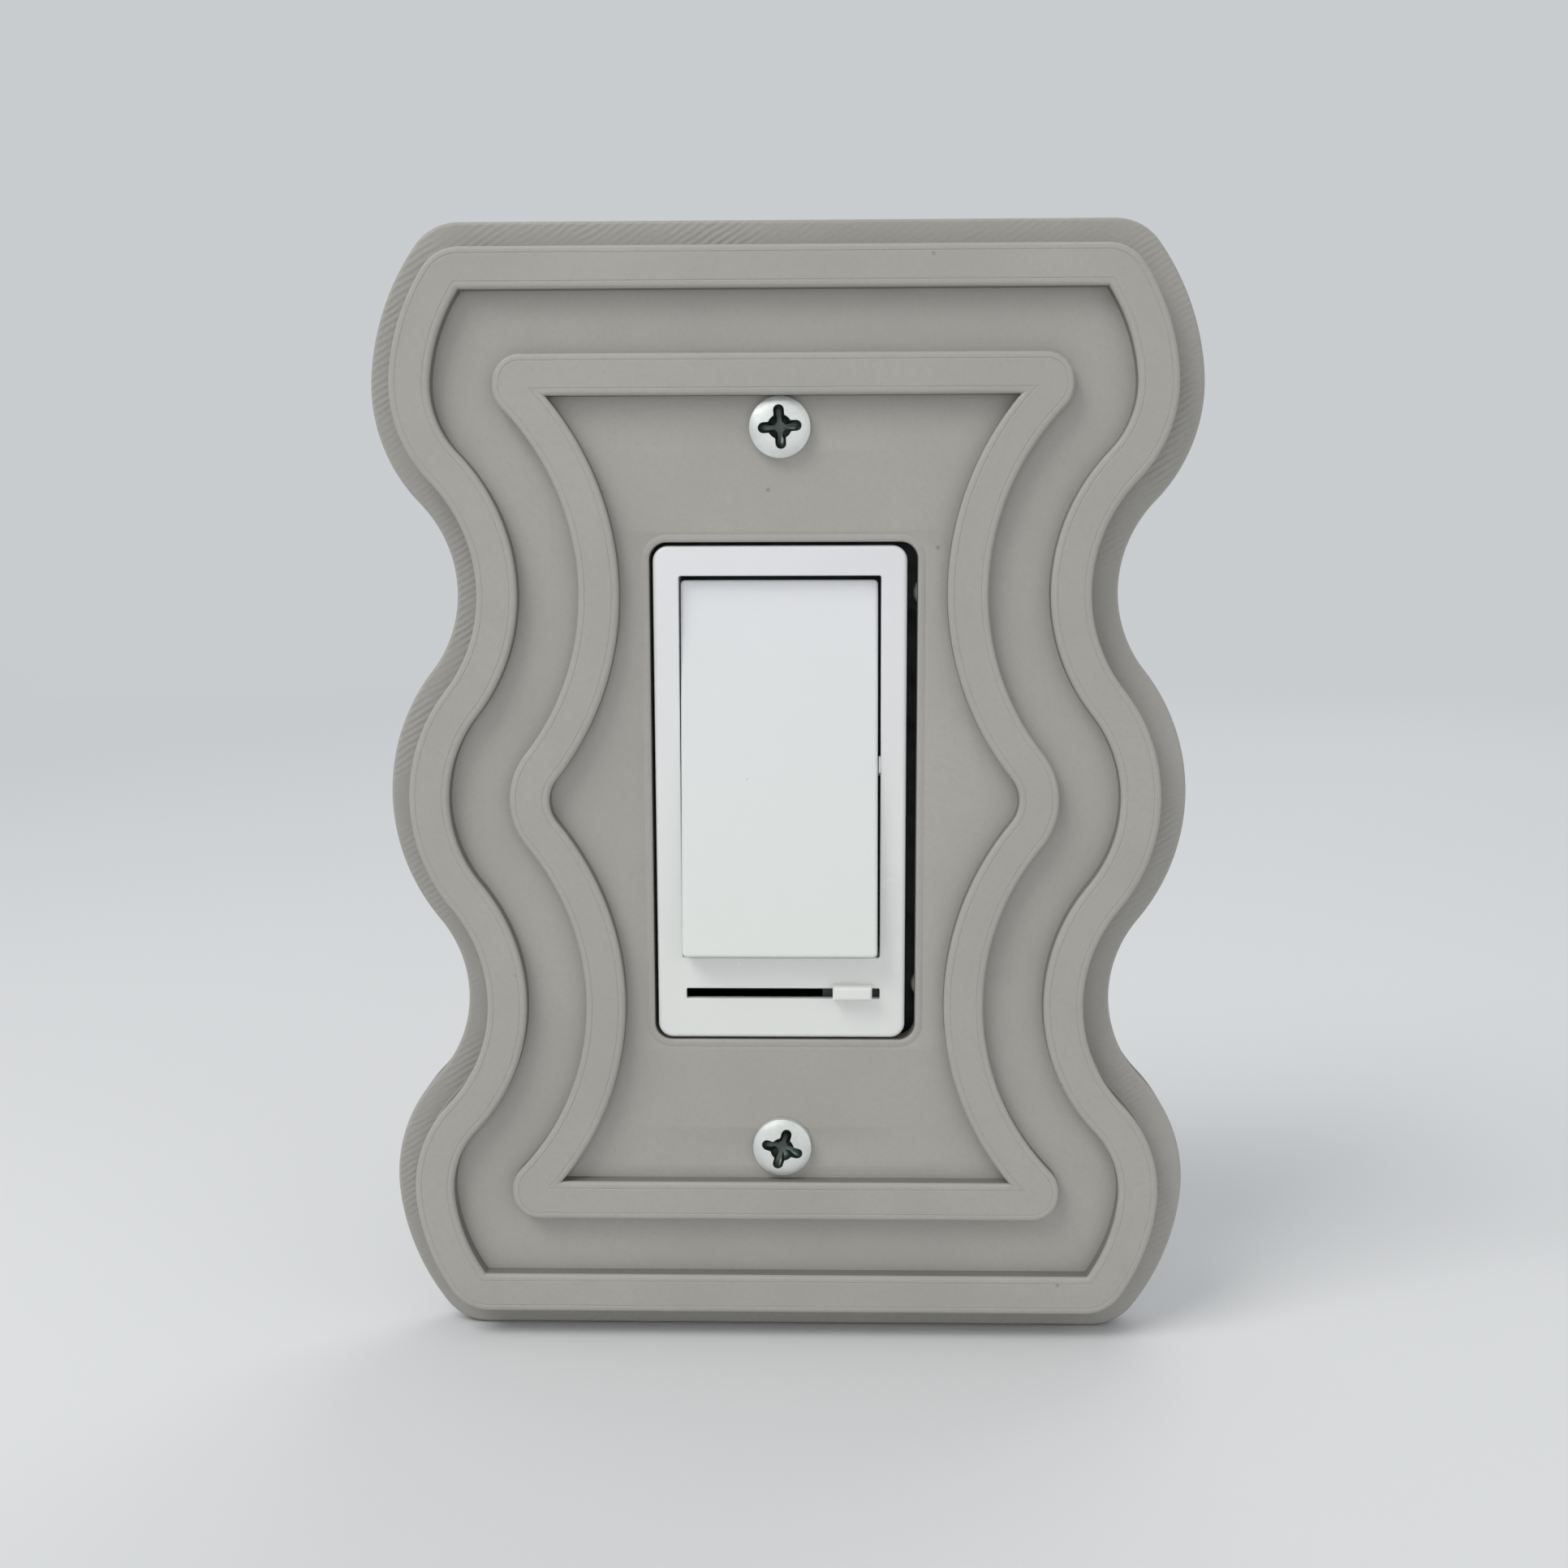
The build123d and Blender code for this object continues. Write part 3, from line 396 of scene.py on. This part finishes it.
def wall_plate():
    """The printed plate, with rolled edges and the line of the print's outer wall along each edge."""
    build = Builder()
    outer = RIBBON + STEP
    rings = []

    def add(base, corner_r, z, look=TOP, shift=0.0):
        rings.append((build.ring(wavy(base, max(corner_r, 0.0), shift), z), look))

    def step(inset, z, look):
        add(outer - inset, STEP_CORNER - inset, z, look, STEP_SHIFT)

    def seam(base, corner_r, half=0.11, deep=0.05):
        """A shallow line along the curve `base`, crossed from outside to inside."""
        for shift, drop in ((half, 0), (half * 0.35, deep), (-half * 0.35, deep), (-half, 0)):
            add(base + shift, corner_r and corner_r + shift, RIBBON_TOP - drop)

    def ribbon(base, corner_r, foot, foot_look):
        """Up the ribbon's outer wall, over its rolled edges and seams and down to the groove."""
        add(base, corner_r, foot, foot_look)
        for across, up in rolled():
            look = TOP if up else WALL
            add(base - ROLL * across, corner_r - ROLL * across, RIBBON_TOP - ROLL * (1 - up), look)
        seam(base - SEAM, corner_r - SEAM)
        seam(base - RIBBON + SEAM, 0)
        for across, up in reversed(rolled()):
            add(base - RIBBON + ROLL * across, 0, RIBBON_TOP - ROLL * (1 - up))
        add(base - RIBBON, 0, FIELD_TOP, WALL)

    for inset, z in ((RIM_WALL, CAVITY_TOP), (RIM_WALL, RIM_EDGE), (RIM_WALL - RIM_EDGE, 0)):
        add(outer - inset, CAVITY_CORNER, z, WALL)
    cavity_edge = rings[0][0]
    step(RIM_EDGE, 0, LEDGE)
    step(0, RIM_EDGE, WALL)
    for across, up in rolled():
        step(STEP_ROLL * across, STEP_TOP - STEP_ROLL * (1 - up), LEDGE if up else WALL)
    add(RIBBON + 0.12, OUTER_CORNER + 0.12, STEP_TOP, LEDGE)
    ribbon(RIBBON, OUTER_CORNER, STEP_TOP + 0.12, LEDGE)
    build.skin(rings)
    groove_outer = rings[-1][0]

    rings.clear()
    ribbon(INNER + RIBBON, INNER_CORNER, FIELD_TOP, WALL)
    build.skin(rings)
    groove_inner, field_edge = rings[0][0], rings[-1][0]
    build.fill([groove_outer, groove_inner], TOP)

    def lip(grow, z):
        return build.ring(rounded(OPENING_WIDE, OPENING_TALL, OPENING_CORNER, grow, OPENING_AT), z)

    opening = [(lip(1.14, FIELD_TOP), TOP)]
    for grow, z in ((1.04, 0.05), (0.96, 0.05), (0.86, 0)):
        opening.append((lip(grow, FIELD_TOP - z), TOP))
    for across, up in reversed(rolled()):
        opening.append((lip(LIP_ROLL * across, FIELD_TOP - LIP_ROLL * (1 - up)), TOP))
    opening.append((lip(0, CAVITY_TOP), WALL))
    build.skin(opening)

    holes, backs, bosses = [], [], []
    for side in (1, -1):
        centre = (PLATE_SHIFT[0], side * SCREW_Y + PLATE_SHIFT[1])
        mouth = [(build.ring(circle(HOLE_R + HOLE_EDGE, centre), FIELD_TOP), TOP)]
        mouth.append((build.ring(circle(HOLE_R + 0.08, centre), FIELD_TOP - 0.08), TOP))
        mouth.append((build.ring(circle(HOLE_R, centre), FIELD_TOP - HOLE_EDGE), TOP))
        mouth.append((build.ring(circle(HOLE_R, centre), YOKE_TOP), WALL))
        build.skin(mouth)
        holes.append(mouth[0][0])
        half_x = BOSS_WIDE / 2
        low_y, high_y = side * BOSS_MID - BOSS_TALL / 2, side * BOSS_MID + BOSS_TALL / 2
        boss = [(-half_x, low_y), (half_x, low_y), (half_x, high_y), (-half_x, high_y)]
        low, high = build.ring(boss, YOKE_TOP), build.ring(boss, CAVITY_TOP)
        build.band(low, high, WALL)
        build.fill([low, mouth[-1][0]], TOP)
        bosses.append(high)
    build.fill([field_edge, opening[0][0], *holes], TOP)
    build.fill([cavity_edge, opening[-1][0], *bosses], TOP)
    build.done("plate_printed", [PRINT_TOP, PRINT_STEP_SHADED, PRINT_WALL_SHADED], "device", ["wall_plate"])


wall_plate()


# ---- Screws -------------------------------------------------------------------------------------
THREAD_R, THREAD_PITCH, THREAD_DEEP, TURN_STEPS = 1.75, 0.794, 0.42, 6
BOX_SCREW_Y = 41.67
HEAD_POINTS, SHANK_POINTS, DOME_STEPS = 120, 24, 9
DOME_EDGE, BEARING_EDGE, THREAD_START = 0.965, 0.12, 0.1
RECESS_STEPS = ((0.10, 1.45), (0.45, 1.38), (0.72, 1.0), (0.95, 0.5), (1.0, 0.14))
RECESS_TALL = 1.75  # the head height that the drops in RECESS_STEPS are for
# RECESS picks the painted-shade metal for the faces inside the cross recess.
PLATED, RECESS = 0, 1


def cross_edge(reach, wing, hub, scale=1.0):
    """The outline of a cross recess: round-tipped wings from a round hub."""
    tip = reach - wing / 2
    out = []
    for index in range(HEAD_POINTS):
        angle = tau * index / HEAD_POINTS
        off = abs((angle + pi / 4) % (pi / 2) - pi / 4)  # the angle from the nearest wing's middle
        inside = (wing / 2) ** 2 - (tip * sin(off)) ** 2
        far = tip * cos(off) + sqrt(inside) if inside > 0 else 0.0
        along = wing / 2 / sin(off) if off > 0.01 else far
        radius = max(hub, far, along if along * cos(off) < tip else 0.0) * scale
        out.append((radius * cos(angle), radius * sin(angle)))
    return out


def turned(points, angle):
    return [(x * cos(angle) - y * sin(angle), x * sin(angle) + y * cos(angle)) for x, y in points]


def cross_head(build, head_r, tall, turn, reach, wing, hub):
    """A low domed head with its cross recess, from the recess's floor out to the bearing face."""
    def dome(radius):
        return tall - 0.45 * tall * (radius / head_r) ** 4

    rings = []
    for scale, drop in RECESS_STEPS:
        edge = turned(cross_edge(reach, wing, hub, scale), turn)
        rings.append((build.ring(edge, tall - drop * tall / RECESS_TALL), RECESS))
    build.fill([rings[0][0]], RECESS)
    lip = turned(cross_edge(reach, wing, hub, 1.035), turn)
    for step in range(DOME_STEPS + 1):
        part = step / DOME_STEPS
        blended = []
        for x, y in lip:
            angle = atan2(y, x)
            radius = sqrt(x * x + y * y) * (1 - part) + head_r * DOME_EDGE * part
            blended.append((radius * cos(angle), radius * sin(angle)))
        rings.append((build.bowl(blended, dome), RECESS if step == 0 else PLATED))

    def rim(radius, z):
        rings.append((build.ring(circle(radius, count=HEAD_POINTS, turn=turn), z), PLATED))

    low = dome(head_r * DOME_EDGE)
    for across, up in reversed(rolled(4)[:-1]):
        rim(head_r - (1 - DOME_EDGE) * head_r * across, low - 0.3 * (1 - up))
    rim(head_r, BEARING_EDGE)
    rim(head_r - BEARING_EDGE, 0)
    build.skin(rings)
    return rings[-1][0]


def threaded_shank(build, bearing_edge, length, neck):
    """A shank whose thread winds round it, from the head's bearing face to its tapered tip."""
    plain = circle(THREAD_R - 0.05, count=SHANK_POINTS)
    rings = [(build.ring(plain, 0), PLATED), (build.ring(plain, -neck), PLATED)]
    run = length - neck - THREAD_START
    count = int(run / THREAD_PITCH * TURN_STEPS)
    for row in range(count + 1):
        z = -neck - THREAD_START - run * row / count
        taper = min(1.0, (length + z) / 0.9)
        points = []
        for index in range(SHANK_POINTS):
            turns = z / THREAD_PITCH + index / SHANK_POINTS
            tooth = abs(2 * (turns % 1.0) - 1)
            groove = THREAD_DEEP * min(1.0, 1.25 * tooth) * min(1.0, row / TURN_STEPS)
            radius = THREAD_R - groove - THREAD_DEEP * (1 - taper)
            angle = tau * index / SHANK_POINTS
            points.append((radius * cos(angle), radius * sin(angle)))
        rings.append((build.ring(points, z), PLATED))
    build.skin(rings)
    build.fill([bearing_edge, rings[0][0]], PLATED)
    build.fill([rings[-1][0]], PLATED)


def cross_screws(name, spots, seat, head, length, neck, recess):
    """Machine screws along the wall's normal, each turned its own way."""
    build = Builder()
    for y, turn in spots:
        build.origin = (0, y, seat)
        bearing_edge = cross_head(build, *head, turn, *recess)
        threaded_shank(build, bearing_edge, length, neck)
    build.done(name + "_threaded", [LOOKS["screw_nickel"], SCREW_RECESS_SHADED], "device", [name])


cross_screws("plate_screws", ((SCREW_Y, radians(4)), (-SCREW_Y, radians(-16))), FIELD_TOP,
             head=(4.0, 1.75), length=12.7, neck=0.3, recess=(2.75, 1.35, 1.55))
cross_screws("box_screws", ((BOX_SCREW_Y, 0.5), (-BOX_SCREW_Y, 1.1)), YOKE_TOP,
             head=(3.3, 1.9), length=25.4, neck=2.4, recess=(2.1, 1.0, 1.0))


# ---- Carried-over nodes -------------------------------------------------------------------------
for name, made in frame["nodes"].items():
    made.data.materials.clear()
    made.data.materials.append(LOOKS.get(SLOTS[name], PRINT_TOP))

# ---- Stage, light and camera --------------------------------------------------------------------
scene = bpy.context.scene
scene.view_settings.view_transform = "Standard"
scene.view_settings.look = "None"
FADE_START, FADE_END = 0.15, 1.1
world = bpy.data.worlds.new("studio")
world.use_nodes = True
scene.world = world
FRONT_SKY, BACK_SKY = (0.42, 0.425, 0.43), (0.585, 0.605, 0.625)


def sky_glow(tree, heading):
    """The studio's backdrop colour for a heading, from -1 in front of the object to 1 behind it."""
    return blend(tree, between(tree, heading, 0, 1, -0.8, 0.9), FRONT_SKY, BACK_SKY)


sky = world.node_tree
aim = node(sky, "ShaderNodeTexCoord").outputs["Generated"]
glow = sky_glow(sky, node(sky, "ShaderNodeSeparateXYZ", {0: aim}).outputs[1])
sky.links.new(glow, sky.nodes["Background"].inputs["Color"])

floor_look, floor_tree, floor_shader = new_material("floor_pale")
dust = noise(floor_tree, place(floor_tree), 0.004, 3.0)
pale = blend(floor_tree, dust, (0.70, 0.71, 0.72), (0.73, 0.74, 0.75))
floor_tree.links.new(pale, floor_shader.inputs["Base Color"])
floor_shader.inputs["Roughness"].default_value = 0.8
spot = node(floor_tree, "ShaderNodeTexCoord").outputs["Object"]
away = node(floor_tree, "ShaderNodeVectorMath", {0: spot}, operation="LENGTH").outputs["Value"]
compass = node(floor_tree, "ShaderNodeVectorMath", {0: spot}, operation="NORMALIZE").outputs["Vector"]
bearing = node(floor_tree, "ShaderNodeSeparateXYZ", {0: compass}).outputs[1]
faded = node(floor_tree, "ShaderNodeEmission", {"Color": sky_glow(floor_tree, bearing)})
fade = between(floor_tree, away, 0, 1, FADE_START, FADE_END)
mixed = {0: fade, 1: floor_shader.outputs[0], 2: faded.outputs[0]}
seamless = node(floor_tree, "ShaderNodeMixShader", mixed)
floor_tree.links.new(seamless.outputs[0], floor_tree.nodes["Material Output"].inputs["Surface"])
floor_mesh = bpy.data.meshes.new("floor")
HALF_FLOOR, FLOOR_Z = 20.0, -0.07565
floor_corners = ((-1, -1), (1, -1), (1, 1), (-1, 1))
floor_points = [(x * HALF_FLOOR, y * HALF_FLOOR, FLOOR_Z) for x, y in floor_corners]
floor_mesh.from_pydata(floor_points, [], [(0, 1, 2, 3)])
floor_mesh.materials.append(floor_look)
floor = bpy.data.objects.new("floor", floor_mesh)
scene.collection.objects.link(floor)


def area_light(name, at, towards, size, power, colour=(1, 1, 1)):
    data = bpy.data.lights.new(name, "AREA")
    data.size, data.energy, data.color = size, power, colour
    lamp = bpy.data.objects.new(name, data)
    lamp.location = at
    lamp.rotation_euler = (Vector(towards) - Vector(at)).to_track_quat("-Z", "Y").to_euler()
    scene.collection.objects.link(lamp)


area_light("key", (-0.58, -0.50, 0.90), (0, 0, 0), 0.60, 7.0, (1.0, 0.99, 0.975))
area_light("low", (-0.2, -0.8, -0.01), (0, 0, -0.06), 0.4, 0.6)
area_light("fill", (0.8, -1.0, 0.35), (0, 0, 0), 1.2, 3.0)
area_light("rear", (0.4, 0.9, 0.7), (0, 0.02, 0), 0.9, 3.0)

PITCH, YAW, ROLL_ANGLE = 0.1423, -0.0226, 0.0032
CAMERA_AT, CAMERA_LENS = (0.0056, -0.2385, 0.03484), 40.2
right, up, ahead = Vector((1, 0, 0)), Vector((0, 0, 1)), Vector((0, 1, 0))
turn = Matrix.Rotation(-YAW, 3, "Z") @ Matrix.Rotation(-PITCH, 3, "X") @ Matrix.Rotation(ROLL_ANGLE, 3, "Y")
axes = Matrix((turn @ right, turn @ up, -(turn @ ahead))).transposed()
camera_data = bpy.data.cameras.new("camera")
camera_data.sensor_width, camera_data.lens = 36.0, CAMERA_LENS
camera_data.clip_start, camera_data.clip_end = 0.005, 50
camera = bpy.data.objects.new("camera", camera_data)
camera.matrix_world = Matrix.Translation(CAMERA_AT) @ axes.to_4x4()
scene.collection.objects.link(camera)
scene.camera = camera
